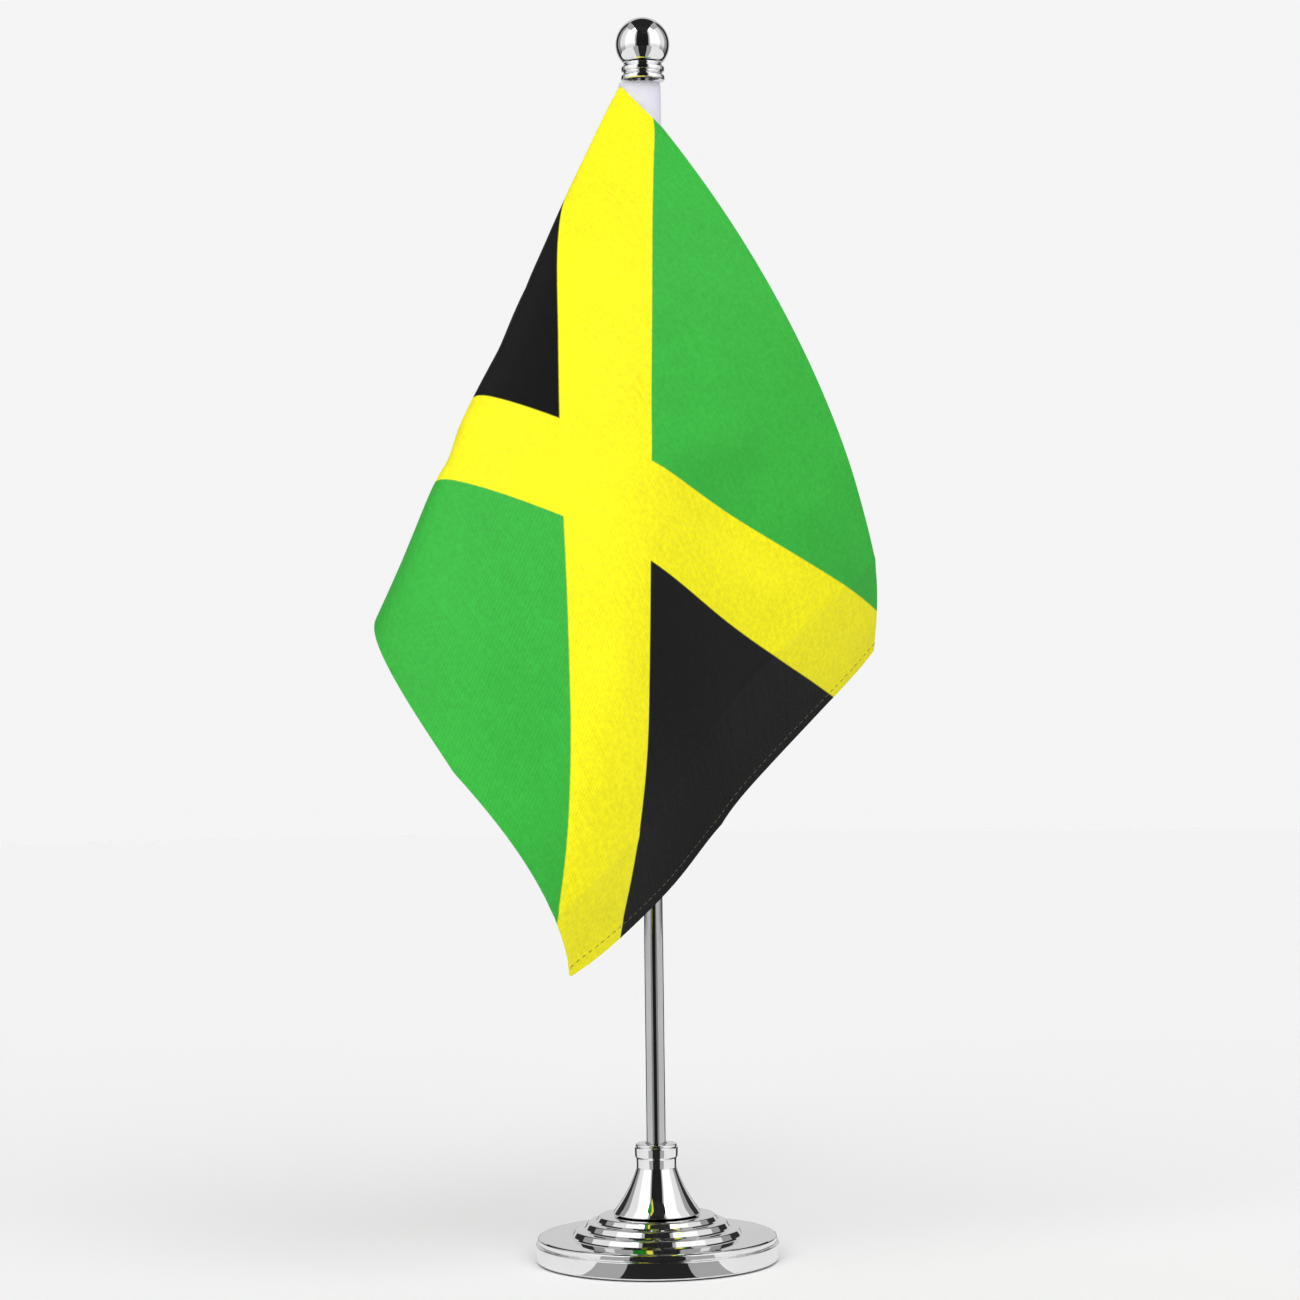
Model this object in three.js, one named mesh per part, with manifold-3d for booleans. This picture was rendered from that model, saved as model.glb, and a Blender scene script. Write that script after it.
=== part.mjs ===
// Desk flag stand: weighted round base, cone socket, screwed-in pole, ball finial and a draped flag.
// Millimetres, +Z up. The origin is the centre of the base's underside and the front faces -Y.
import * as THREE from 'three';
import Module from 'manifold-3d';
import { mergeVertices } from 'three/addons/utils/BufferGeometryUtils.js';

const wasm = await Module();
wasm.setup();

// ---- Driving sizes ----
const TURN_SEGMENTS = 48;          // flat sides round a turned piece that shows
const SMALL_SEGMENTS = 28;         // flat sides round hardware and bores
const GAP = 0.3;                   // clearance between neighbouring pieces
const FIT_GAP = 0.2;               // clearance of a stud or insert in its hole
const WELD_OVERLAP = 1;            // how far two bodies overlap before they are joined

const BASE_RADIUS = 35;            // outside of the base's side band
const BAND_HEIGHT = 5.4;           // top of the side band
const LIP_INSET = 0.65;            // the lip over the band stands in this far from its outside
const LIP_TOP = 7.4;
const EDGE_ROUND = 0.4;            // rounding of the pressed edges
const SKIN = 0.8;                  // wall of the pressed base cover
const STEP_RADII = [24.2, 20.5, 17.2];
const STEP_TOPS = [9.4, 11.5, 13.3];
const DISC_TOP = 7.5;              // disc height where the first step rises
const COVER_HOLE = 6.4;            // hole in the cover under the cone

const PAD_THICKNESS = 1.2;
const PAD_INSET = 1.6;             // pad edge in from the outside of the band

const CONE_FOOT_RADIUS = 12.6;
const CONE_NECK_RADIUS = 5.8;
const CONE_HEIGHT = 13.2;          // cone foot to neck
const CONE_HOLLOW = 0.9;           // how far the cone's side is drawn in at mid height
const CONE_STEPS = 8;
const COLLAR_RADIUS = 6.1;
const COLLAR_HEIGHT = 6.9;         // neck to the top of the collar
const COLLAR_ROUND = 0.9;          // rounding of the collar's bead
const COLLAR_NECK = 2.4;           // plain neck under the bead
const COLLAR_FLARE = 1.3;          // height of the flare under the bead, in rounding radii

const POLE_RADIUS = 2.75;
const POLE_WALL = 0.5;
const SOCKET_DEPTH = 7.6;          // how far the pole sits in the cone
const STUD_RADIUS = 1.95;          // threaded stud in the pole's foot
const STUD_ENGAGED = 5.8;          // stud length held in the cone
const STUD_IN_POLE = 8;
const STAND_HEIGHT = 359;          // to the top of the ball

const BALL_RADIUS = 7.85;
const BALL_NECK_RADIUS = 5.9;
const SKIRT_RADIUS = 6.4;          // both rings of the finial's skirt
const SKIRT_GROOVE = 5.6;
const SKIRT_EDGE = 0.45;           // chamfer of the rings' edges
const SKIRT_HEIGHT = 5;
const FINIAL_STUD_RADIUS = 1.4;
const FINIAL_STUD_ENGAGED = 6.4;
const INSERT_LENGTH = 13;

const BOLT_RADIUS = 1.95;
const BOLT_HEAD_RADIUS = 3.6;
const BOLT_HEAD_HEIGHT = 2.8;
const WASHER_RADIUS = 4.6;
const WASHER_THICKNESS = 1;
const WASHER_SLIT = 0.6;           // gap in the lock washer
const HEX_SIDES = 6;
const BALLAST_INSET = 1.2;         // side clearance between ballast and cover
const BALLAST_POCKET = 5.6;        // depth of the counterbore for the bolt's head and washers
const POCKET_RADIUS = 5.2;
const BOLT_END_GAP = 1.5;          // solid metal of the cone between the bolt's and the stud's holes

const FLAG_DROP = 150;             // hoist edge, along the pole
const FLAG_FLY = 225;              // hoist edge to fly edge
const CLOTH = 0.6;                 // thickness of the flag's sheet
const SLEEVE_DROP = 153;
const SLEEVE_HALF_WIDTH = 5.9;
const SLEEVE_HALF_DEPTH = 3.9;
const SLEEVE_OFFSET = -0.6;        // sleeve's middle, towards its seam
const SLEEVE_STEPS = 32;           // flat sides round the sleeve
const SLEEVE_BELOW_SKIRT = 0.6;
const FLAG_BELOW_SLEEVE_TOP = 2.4;
const SLEEVE_TAB = 7.4;            // sleeve's sewn edge, left of the pole's axis
const TAB_HALF_DEPTH = 0.7;
const HOIST_LEFT = 8;              // the sheet's hoist edge, left of the pole's axis
const HOIST_FRONT = 1.5;           // and in front of it
const FLAG_CELLS_ACROSS = 44;
const FLAG_CELLS_DOWN = 30;

// The sheet hangs from its top hoist corner. Each guide is one straight line drawn on the flat sheet
// from that corner, evenly spaced in angle from the hoist edge to the top edge. side and fore are how
// far the line runs right and forward for each unit of fall, and bend is how far its far end sags.
const FLAG_GUIDES = [
  { side: 0, fore: 0, bend: [0, 0, 0] },
  { side: -0.28, fore: 0.21, bend: [-16, 66, -2] },
  { side: -0.55, fore: 0.77, bend: [-8, 51, -27] },
  { side: -0.04, fore: 0.72, bend: [15, 49, -25] },
  { side: 0.37, fore: 0.735, bend: [-49, 130, -26] },
  { side: 0.864, fore: 0.564, bend: [-57, 113, -6] },
];

// The two free corners curl a little. size is how far from its corner a curl begins, and move is how
// far it takes the corner itself.
const FLAG_CURLS = [
  { across: FLAG_FLY, down: FLAG_DROP, size: 75, move: [-11.3, 2.5, 4.3] },
  { across: FLAG_FLY, down: 0, size: 38, move: [-5, 7, -1] },
];

// ---- Levels and radii that follow ----
const lipRadius = BASE_RADIUS - LIP_INSET;
const ballastRadius = BASE_RADIUS - SKIN - BALLAST_INSET;
const coverTop = STEP_TOPS[STEP_TOPS.length - 1];
const coneFoot = coverTop + GAP;
const coneNeck = coneFoot + CONE_HEIGHT;
const collarTop = coneNeck + COLLAR_HEIGHT;
const socketFloor = collarTop - SOCKET_DEPTH;
const poleFoot = socketFloor + GAP;
const studFloor = socketFloor - STUD_ENGAGED;
const boltFloor = studFloor - BOLT_END_GAP;
const ballastFoot = PAD_THICKNESS + GAP;
const pocketTop = ballastFoot + BALLAST_POCKET;
const poleBore = POLE_RADIUS - POLE_WALL;
const ballCentre = STAND_HEIGHT - BALL_RADIUS;
const ballFoot = ballCentre - Math.sqrt(BALL_RADIUS ** 2 - BALL_NECK_RADIUS ** 2);
const skirtTop = ballFoot - GAP;
const skirtFoot = skirtTop - SKIRT_HEIGHT;
const poleTop = skirtFoot + SKIRT_HEIGHT / 2;
const sleeveTop = skirtFoot - SLEEVE_BELOW_SKIRT;
const flagTop = sleeveTop - FLAG_BELOW_SLEEVE_TOP;

// ---- Helpers ----
function lathe(profile, segments = TURN_SEGMENTS) {
  const points = profile.map(([r, z]) => new THREE.Vector2(r, z));
  const geometry = new THREE.LatheGeometry(points, segments);
  geometry.rotateX(Math.PI / 2);
  geometry.rotateZ(Math.PI / segments);
  return geometry;
}

function ring(inner, outer, low, high, segments = SMALL_SEGMENTS) {
  return lathe([[inner, low], [outer, low], [outer, high], [inner, high], [inner, low]], segments);
}

function rod(radius, low, high, segments = SMALL_SEGMENTS) {
  return lathe([[0, low], [radius, low], [radius, high], [0, high]], segments);
}

function toManifold(geometry) {
  let plain = geometry.clone();
  plain.deleteAttribute('normal');
  plain.deleteAttribute('uv');
  plain = mergeVertices(plain, 1e-4);
  return new wasm.Manifold(new wasm.Mesh({
    numProp: 3,
    vertProperties: new Float32Array(plain.attributes.position.array),
    triVerts: new Uint32Array(plain.index.array),
  }));
}

function toGeometry(solid) {
  const mesh = solid.getMesh();
  const geometry = new THREE.BufferGeometry();
  geometry.setAttribute('position', new THREE.BufferAttribute(new Float32Array(mesh.vertProperties), 3));
  geometry.setIndex(new THREE.BufferAttribute(new Uint32Array(mesh.triVerts), 1));
  geometry.computeVertexNormals();
  return geometry;
}

// An arc of profile points round (r, z), from one angle to another in degrees.
function arc(r, z, radius, from, to, steps) {
  const points = [];
  for (let i = 0; i <= steps; i++) {
    const angle = THREE.MathUtils.degToRad(from + ((to - from) * i) / steps);
    points.push([r + radius * Math.cos(angle), z + radius * Math.sin(angle)]);
  }
  return points;
}

function clean(geometry) {
  return toGeometry(toManifold(geometry));
}

// ---- Base ----
function basePad() {
  return rod(BASE_RADIUS - PAD_INSET, 0, PAD_THICKNESS, TURN_SEGMENTS);
}

function baseCover() {
  const rimFoot = PAD_THICKNESS / 2;
  const profile = [
    [BASE_RADIUS, rimFoot],
    [BASE_RADIUS, BAND_HEIGHT - EDGE_ROUND],
    [BASE_RADIUS - EDGE_ROUND, BAND_HEIGHT],
    [lipRadius, BAND_HEIGHT],
    [lipRadius, LIP_TOP - EDGE_ROUND],
    [lipRadius - EDGE_ROUND, LIP_TOP],
  ];
  let floor = DISC_TOP;
  STEP_RADII.forEach((radius, i) => {
    const centre = STEP_TOPS[i] - EDGE_ROUND;
    profile.push([radius, floor], ...arc(radius - EDGE_ROUND, centre, EDGE_ROUND, 0, 90, 3));
    floor = STEP_TOPS[i];
  });
  profile.push([COVER_HOLE, coverTop], [COVER_HOLE, coverTop - SKIN]);
  for (let i = STEP_RADII.length - 1; i >= 0; i--) {
    const below = i > 0 ? STEP_TOPS[i - 1] : LIP_TOP;
    profile.push([STEP_RADII[i] - SKIN, STEP_TOPS[i] - SKIN], [STEP_RADII[i] - SKIN, below - SKIN]);
  }
  profile.push([lipRadius - SKIN, LIP_TOP - SKIN], [lipRadius - SKIN, BAND_HEIGHT - SKIN]);
  profile.push([BASE_RADIUS - SKIN, BAND_HEIGHT - SKIN], [BASE_RADIUS - SKIN, rimFoot]);
  profile.push([BASE_RADIUS, rimFoot]);
  return lathe(profile);
}

function baseBallast() {
  const shoulder = GAP * 2;
  const profile = [[BOLT_RADIUS + GAP, pocketTop], [POCKET_RADIUS, pocketTop]];
  profile.push([POCKET_RADIUS, ballastFoot], [ballastRadius, ballastFoot]);
  let level = LIP_TOP - SKIN - GAP;
  profile.push([ballastRadius, level]);
  STEP_RADII.forEach((radius, i) => {
    profile.push([radius - SKIN - shoulder, level]);
    level = STEP_TOPS[i] - SKIN - GAP;
    profile.push([radius - SKIN - shoulder, level]);
  });
  profile.push([BOLT_RADIUS + GAP, level], [BOLT_RADIUS + GAP, pocketTop]);
  return lathe(profile);
}

// ---- Clamp under the base ----
const boltHeadFoot = ballastFoot + GAP;
const boltHeadTop = boltHeadFoot + BOLT_HEAD_HEIGHT;
const lockWasherFoot = boltHeadTop + GAP;
const flatWasherFoot = pocketTop - GAP - WASHER_THICKNESS;

function clampBolt() {
  const head = toManifold(rod(BOLT_HEAD_RADIUS, boltHeadFoot, boltHeadTop));
  const shank = toManifold(rod(BOLT_RADIUS, boltHeadTop - WELD_OVERLAP, boltFloor - GAP));
  const socketTop = boltHeadFoot + BOLT_HEAD_HEIGHT / 2;
  const hexFoot = boltHeadFoot - WELD_OVERLAP;
  const hexSocket = toManifold(rod(BOLT_HEAD_RADIUS / 2, hexFoot, socketTop, HEX_SIDES));
  return toGeometry(head.add(shank).subtract(hexSocket));
}

function lockWasher() {
  const height = flatWasherFoot - GAP - lockWasherFoot;
  const washer = ring(BOLT_RADIUS + GAP, BOLT_HEAD_RADIUS, lockWasherFoot, lockWasherFoot + height);
  const slit = new THREE.BoxGeometry(BOLT_HEAD_RADIUS * 2, WASHER_SLIT, height * 3);
  slit.translate(BOLT_HEAD_RADIUS, 0, lockWasherFoot);
  return toGeometry(toManifold(washer).subtract(toManifold(slit)));
}

function flatWasher() {
  return ring(BOLT_RADIUS + GAP, WASHER_RADIUS, flatWasherFoot, flatWasherFoot + WASHER_THICKNESS);
}

// ---- Cone socket ----
function coneSocket() {
  const waist = CONE_FOOT_RADIUS - CONE_NECK_RADIUS;
  const profile = [
    [0, boltFloor],
    [BOLT_RADIUS + GAP, boltFloor],
    [BOLT_RADIUS + GAP, coneFoot],
    [CONE_FOOT_RADIUS, coneFoot],
    [CONE_FOOT_RADIUS, coneFoot + GAP * 2],
  ];
  for (let i = 1; i <= CONE_STEPS; i++) {
    const rise = i / CONE_STEPS;
    const hollow = CONE_HOLLOW * Math.sin(Math.PI * rise);
    const level = coneFoot + GAP * 2 + (CONE_HEIGHT - GAP * 2) * rise;
    profile.push([CONE_FOOT_RADIUS - waist * rise - hollow, level]);
  }
  const beadFoot = coneNeck + COLLAR_NECK + COLLAR_FLARE * COLLAR_ROUND;
  const beadCentre = COLLAR_RADIUS - COLLAR_ROUND;
  profile.push([CONE_NECK_RADIUS, coneNeck + COLLAR_NECK]);
  profile.push(...arc(beadCentre, beadFoot, COLLAR_ROUND, -60, 0, 3));
  profile.push(...arc(beadCentre, collarTop - COLLAR_ROUND, COLLAR_ROUND, 0, 90, 4));
  profile.push([POLE_RADIUS + GAP, collarTop], [POLE_RADIUS + GAP, socketFloor]);
  profile.push([STUD_RADIUS + GAP, socketFloor], [STUD_RADIUS + GAP, studFloor], [0, studFloor]);
  return lathe(profile);
}

// ---- Pole ----
function poleStud() {
  return rod(STUD_RADIUS, studFloor + GAP, poleFoot + STUD_IN_POLE);
}

function poleTube() {
  return ring(poleBore, POLE_RADIUS, poleFoot, poleTop, SMALL_SEGMENTS);
}

function poleInsert() {
  const top = poleTop - FIT_GAP;
  return ring(FINIAL_STUD_RADIUS + FIT_GAP, poleBore - FIT_GAP, top - INSERT_LENGTH, top);
}

// ---- Finial ----
const finialBore = FINIAL_STUD_RADIUS + GAP;

function finialStud() {
  return rod(FINIAL_STUD_RADIUS, poleTop - FINIAL_STUD_ENGAGED, ballCentre);
}

function finialSkirt() {
  const edge = SKIRT_EDGE;
  const grooveLevel = skirtFoot + SKIRT_HEIGHT / 2;
  const boreTop = poleTop + GAP;
  return lathe([
    [POLE_RADIUS + GAP, skirtFoot],
    [SKIRT_GROOVE, skirtFoot],
    [SKIRT_RADIUS, skirtFoot + edge],
    [SKIRT_RADIUS, grooveLevel - 2 * edge],
    [SKIRT_RADIUS - edge, grooveLevel - edge],
    [SKIRT_GROOVE, grooveLevel],
    [SKIRT_RADIUS - edge, grooveLevel + edge],
    [SKIRT_RADIUS, grooveLevel + 2 * edge],
    [SKIRT_RADIUS, skirtTop - 2 * edge],
    [BALL_NECK_RADIUS, skirtTop],
    [finialBore, skirtTop],
    [finialBore, boreTop],
    [POLE_RADIUS + GAP, boreTop],
    [POLE_RADIUS + GAP, skirtFoot],
  ]);
}

function finialBall() {
  const neckAngle = -THREE.MathUtils.radToDeg(Math.acos(BALL_NECK_RADIUS / BALL_RADIUS));
  const profile = [[0, ballCentre + GAP], [finialBore, ballCentre + GAP], [finialBore, ballFoot]];
  profile.push(...arc(0, ballCentre, BALL_RADIUS, neckAngle, 90, 16));
  profile[profile.length - 1][0] = 0;
  return lathe(profile);
}

// ---- Flag ----
function flagSleeve() {
  const outline = [];
  for (let i = 0; i < SLEEVE_STEPS; i++) {
    const angle = (2 * Math.PI * (i + 0.5)) / SLEEVE_STEPS;
    const x = SLEEVE_OFFSET + SLEEVE_HALF_WIDTH * Math.cos(angle);
    outline.push(new THREE.Vector2(x, SLEEVE_HALF_DEPTH * Math.sin(angle)));
  }
  const shape = new THREE.Shape(outline);
  const hole = new THREE.Path();
  hole.absarc(0, 0, POLE_RADIUS + GAP, 0, 2 * Math.PI, true);
  shape.holes.push(hole);
  const settings = { depth: SLEEVE_DROP, bevelEnabled: false, curveSegments: 14 };
  const tube = new THREE.ExtrudeGeometry(shape, settings);
  tube.translate(0, 0, sleeveTop - SLEEVE_DROP);
  const tabLength = SLEEVE_TAB + SLEEVE_OFFSET - SLEEVE_HALF_WIDTH + WELD_OVERLAP;
  const tab = new THREE.BoxGeometry(tabLength, 2 * TAB_HALF_DEPTH, SLEEVE_DROP);
  tab.translate(-SLEEVE_TAB + tabLength / 2, 0, sleeveTop - SLEEVE_DROP / 2);
  return toGeometry(toManifold(tube).add(toManifold(tab)));
}

// A smooth curve through the guides, as the weights of four neighbouring guides.
function blendGuides(angle) {
  const last = FLAG_GUIDES.length - 1;
  const place = Math.min((angle / (Math.PI / 2)) * last, last - 1e-7);
  const span = Math.floor(place);
  const t = place - span;
  const weights = [(1 - t) ** 3, 3 * t ** 3 - 6 * t ** 2 + 4, 1 + 3 * t + 3 * t ** 2 - 3 * t ** 3, t ** 3];
  const total = [0, 0, 0, 0, 0];
  weights.forEach((weight, k) => {
    guideValues(span + k - 1).forEach((value, i) => {
      total[i] += (weight * value) / 6;
    });
  });
  return total;
}

// A guide's five values. One step past either end, the run of guides is carried on straight.
function guideValues(index) {
  const last = FLAG_GUIDES.length - 1;
  if (index < 0 || index > last) {
    const end = guideValues(index < 0 ? 0 : last);
    const next = guideValues(index < 0 ? 1 : last - 1);
    return end.map((value, i) => 2 * value - next[i]);
  }
  const guide = FLAG_GUIDES[index];
  return [guide.side, guide.fore, ...guide.bend];
}

// Where a point of the flat sheet hangs: across from the hoist edge and down from the top edge.
function flagPoint(across, down) {
  const reach = Math.hypot(across, down);
  const [side, fore, bendX, bendY, bendZ] = blendGuides(Math.atan2(across, down));
  const stretch = reach / Math.hypot(side, fore, 1);
  const sag = (reach / FLAG_FLY) ** 2;
  const point = new THREE.Vector3(
    -HOIST_LEFT + stretch * side + sag * bendX,
    -HOIST_FRONT - stretch * fore + sag * bendY,
    flagTop - stretch + sag * bendZ,
  );
  FLAG_CURLS.forEach((curl) => {
    const distance = Math.hypot(across - curl.across, down - curl.down);
    const share = Math.max(0, 1 - distance / curl.size) ** 2;
    point.addScaledVector(new THREE.Vector3(...curl.move), share);
  });
  return point;
}

function flagNormal(across, down) {
  const step = 0.2;
  const sideways = flagPoint(across + step, down).sub(flagPoint(Math.max(across - step, 0), down));
  const downward = flagPoint(across, down + step).sub(flagPoint(across, Math.max(down - step, 0)));
  return sideways.cross(downward).normalize();
}

function flagSheet() {
  const columns = FLAG_CELLS_ACROSS + 1;
  const rows = FLAG_CELLS_DOWN + 1;
  const positions = [];
  for (const face of [0.5, -0.5]) {
    for (let row = 0; row < rows; row++) {
      for (let column = 0; column < columns; column++) {
        const across = (FLAG_FLY * column) / FLAG_CELLS_ACROSS;
        const down = (FLAG_DROP * row) / FLAG_CELLS_DOWN;
        const point = flagPoint(across, down).addScaledVector(flagNormal(across, down), face * CLOTH);
        positions.push(point.x, point.y, point.z);
      }
    }
  }
  const at = (side, row, column) => side * rows * columns + row * columns + column;
  const index = [];
  const quad = (a, b, c, d) => index.push(a, b, c, a, c, d);
  for (let row = 0; row < FLAG_CELLS_DOWN; row++) {
    for (let column = 0; column < FLAG_CELLS_ACROSS; column++) {
      quad(at(0, row, column), at(0, row, column + 1), at(0, row + 1, column + 1), at(0, row + 1, column));
      quad(at(1, row, column), at(1, row + 1, column), at(1, row + 1, column + 1), at(1, row, column + 1));
    }
    quad(at(0, row, 0), at(0, row + 1, 0), at(1, row + 1, 0), at(1, row, 0));
    const right = FLAG_CELLS_ACROSS;
    quad(at(1, row, right), at(1, row + 1, right), at(0, row + 1, right), at(0, row, right));
  }
  for (let column = 0; column < FLAG_CELLS_ACROSS; column++) {
    const low = FLAG_CELLS_DOWN;
    quad(at(1, 0, column), at(1, 0, column + 1), at(0, 0, column + 1), at(0, 0, column));
    quad(at(0, low, column), at(0, low, column + 1), at(1, low, column + 1), at(1, low, column));
  }
  const geometry = new THREE.BufferGeometry();
  geometry.setAttribute('position', new THREE.Float32BufferAttribute(positions, 3));
  geometry.setIndex(index);
  geometry.computeVertexNormals();
  return geometry;
}

// ---- Materials and assembly ----
function finish(color, roughness, metalness) {
  return new THREE.MeshStandardMaterial({ color, roughness, metalness });
}

const chrome = finish(0xd8dade, 0.08, 1);
const castIron = finish(0x3a3b3d, 0.7, 0.6);
const steel = finish(0xa8aaad, 0.35, 1);
const brass = finish(0xb8954a, 0.35, 1);
const felt = finish(0x1e1f21, 0.95, 0);
const satin = finish(0xe6dc1e, 0.55, 0);
const whiteCloth = finish(0xe4e2f2, 0.8, 0);

const object = new THREE.Group();
object.name = 'desk_flag_stand';

function addPiece(name, geometry, material) {
  const mesh = new THREE.Mesh(geometry, material);
  mesh.name = name;
  object.add(mesh);
}

addPiece('base_pad', clean(basePad()), felt);
addPiece('base_cover', clean(baseCover()), chrome);
addPiece('base_ballast', clean(baseBallast()), castIron);
addPiece('clamp_bolt', clampBolt(), steel);
addPiece('lock_washer', lockWasher(), steel);
addPiece('flat_washer', clean(flatWasher()), steel);
addPiece('cone_socket', clean(coneSocket()), chrome);
addPiece('pole_stud', clean(poleStud()), steel);
addPiece('pole_tube', clean(poleTube()), chrome);
addPiece('pole_insert', clean(poleInsert()), brass);
addPiece('finial_stud', clean(finialStud()), steel);
addPiece('finial_skirt', clean(finialSkirt()), chrome);
addPiece('finial_ball', clean(finialBall()), chrome);
addPiece('flag_sleeve', flagSleeve(), whiteCloth);
addPiece('flag_sheet', flagSheet(), satin);

export default object;
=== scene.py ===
"""Looks of a desk flag stand: chrome stand, cloth sleeve and a hanging printed flag, on its CAD frame."""

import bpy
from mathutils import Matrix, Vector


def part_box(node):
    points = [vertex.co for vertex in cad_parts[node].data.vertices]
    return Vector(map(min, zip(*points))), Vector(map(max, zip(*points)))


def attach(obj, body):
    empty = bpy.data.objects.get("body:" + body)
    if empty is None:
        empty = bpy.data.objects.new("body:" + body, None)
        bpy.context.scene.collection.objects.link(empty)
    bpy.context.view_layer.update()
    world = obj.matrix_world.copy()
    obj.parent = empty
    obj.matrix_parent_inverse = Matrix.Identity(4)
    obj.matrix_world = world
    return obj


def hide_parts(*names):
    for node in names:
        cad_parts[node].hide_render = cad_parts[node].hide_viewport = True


bl_info = {
    "name": "Desk flag stand",
    "version": (1, 0, 0),
    "blender": (4, 5, 0),
    "location": "3D View > Sidebar > Desk flag",
    "description": "Builds the visible pieces of a desk flag stand around its CAD frame",
    "category": "Add Mesh",
}

import math

import bmesh
import bpy
from mathutils import Vector

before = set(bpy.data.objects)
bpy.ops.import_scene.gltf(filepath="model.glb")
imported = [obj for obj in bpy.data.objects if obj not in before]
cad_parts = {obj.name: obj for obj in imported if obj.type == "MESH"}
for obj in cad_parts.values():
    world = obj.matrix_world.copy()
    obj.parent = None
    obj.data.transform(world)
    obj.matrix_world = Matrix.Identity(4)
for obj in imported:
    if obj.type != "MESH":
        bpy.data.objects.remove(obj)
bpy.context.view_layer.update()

MM = 0.001
MERGE_DISTANCE = 1e-7
LARGEST_EXPONENT = 40
# A corner's arc takes at most this share of either side. Its support points stand this many times as
# far from the corner as its ends do.
ARC_SHARE = 0.46
ARC_SUPPORT = 1.08

# ---- Levels and radii read from the CAD frame, in millimetres ----


def low(node):
    """Lowest level of a CAD node."""
    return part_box(node)[0][2] / MM


def high(node):
    """Highest level of a CAD node."""
    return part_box(node)[1][2] / MM


def reach(node):
    """Largest distance of a CAD node's box from the pole's axis along X."""
    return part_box(node)[1][0] / MM


BASE_RADIUS = reach("base_cover")
PAD_RADIUS = reach("base_pad")
PAD_TOP = high("base_pad")
COVER_TOP = high("base_cover")
CONE_FOOT = low("cone_socket")
COLLAR_TOP = high("cone_socket")
POLE_RADIUS = reach("pole_tube")
POLE_FOOT = low("pole_tube")
POLE_TOP = high("pole_tube")
SKIRT_FOOT = low("finial_skirt")
SKIRT_TOP = high("finial_skirt")
BALL_TOP = high("finial_ball")
BALL_FOOT = low("finial_ball")
BALL_RADIUS = reach("finial_ball")
SLEEVE_TOP = high("flag_sleeve")
SLEEVE_FOOT = low("flag_sleeve")
SLEEVE_ABOVE_FLAG = 2.4
FLAG_TOP = SLEEVE_TOP - SLEEVE_ABOVE_FLAG

# ---- Metalwork, in millimetres ----
COVER_SKIN = 0.8
COVER_HOLE = 6.4
LIP_INSET = 0.62
# The cover's rising steps: radius and level of the foot, level and rounding of the edge.
COVER_STEPS = (
    (24.9, 7.4, 9.35, 0.75),
    (21.2, 9.45, 11.4, 0.75),
    (17.9, 11.5, 13.2, 0.7),
)
CONE_RISE = 13.2
CONE_RADIUS = 12.6
CONE_NARROWING = 6.9
CONE_HOLLOW = 0.75
# The holes for the bolt and the stud: their radius, and how far under the collar's top they end.
BOLT_HOLE = 2.25
BOLT_TOP_DEPTH = 14.9
STUD_FOOT_DEPTH = 13.4
POLE_CLEARANCE = 0.3
POLE_WALL = 0.5
# The pole's bore has one more ring this far inside each end.
BORE_RING_DEPTH = 40
BALL_NECK = 5.9
FINIAL_BORE = 1.7

# ---- The sleeve, in millimetres ----
SLEEVE_CLEARANCE = 0.28
SLEEVE_HALF_WIDTH = 5.75
SLEEVE_HALF_DEPTH = 3.75
SLEEVE_LEAN = 0.6
# Its creases: height, spacing along the pole and how often each comes back round it.
SLEEVE_CREASES = (
    (0.16, 7.0, 2),
    (0.1, 3.1, -3),
)
# Where its seams run, as an angle about the pole from the right, and how far from an edge a row of
# stitches starts.
SEAM_ANGLE = math.radians(160)
SEAM_END_GAP = 0.8
# How far its ends are drawn in, and over what length.
END_ROUNDING = 0.35
END_ROUNDING_REACH = 0.25

# ---- The flag's drape, in millimetres ----
FLAG_DROP = 150.0
FLAG_FLY = 225.0
HOIST_LEFT = 8.0
HOIST_FRONT = 1.5

# The sheet's faces across and down.
SHEET_COLUMNS = 240
SHEET_ROWS = 160

# The print is wider than the sheet: this much of it is turned into the sleeve and into the fly hem. It
# also sits a little low.
PRINT_MARGIN = 7.0
PRINT_DROP = 1.2

# Each guide is one straight line drawn on the flat sheet from its top hoist corner, evenly spaced in
# angle from the hoist edge to the top edge: how far it runs right and forward for each unit of fall,
# and how far its far end sags along X, Y and Z.
FLAG_GUIDES = (
    (0.0, 0.0, 0, 0, 0),
    (-0.28, 0.21, -16, 66, -2),
    (-0.55, 0.77, -8, 51, -27),
    (-0.04, 0.72, 15, 49, -25),
    (0.37, 0.735, -49, 130, -26),
    (0.864, 0.564, -57, 113, -6),
)

# The two free corners curl and the edges bow a little: the middle of each bow on the flat sheet, how
# far from it the bow reaches, and how far its middle moves.
FLAG_CURLS = (
    (FLAG_FLY, FLAG_DROP, 75.0, (-11.3, 2.5, 4.3)),
    (FLAG_FLY, 0.0, 38.0, (-3.0, 6.0, 0.6)),
    (FLAG_FLY, 75.0, 70.0, (2.0, 0.0, -2.0)),
    (155.0, FLAG_DROP, 62.0, (-2.2, 0.0, -1.5)),
    (20.0, 0.0, 110.0, (1.9, 0.0, 1.9)),
    (50.0, 80.0, 58.0, (2.2, 0.0, -0.8)),
)

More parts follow.
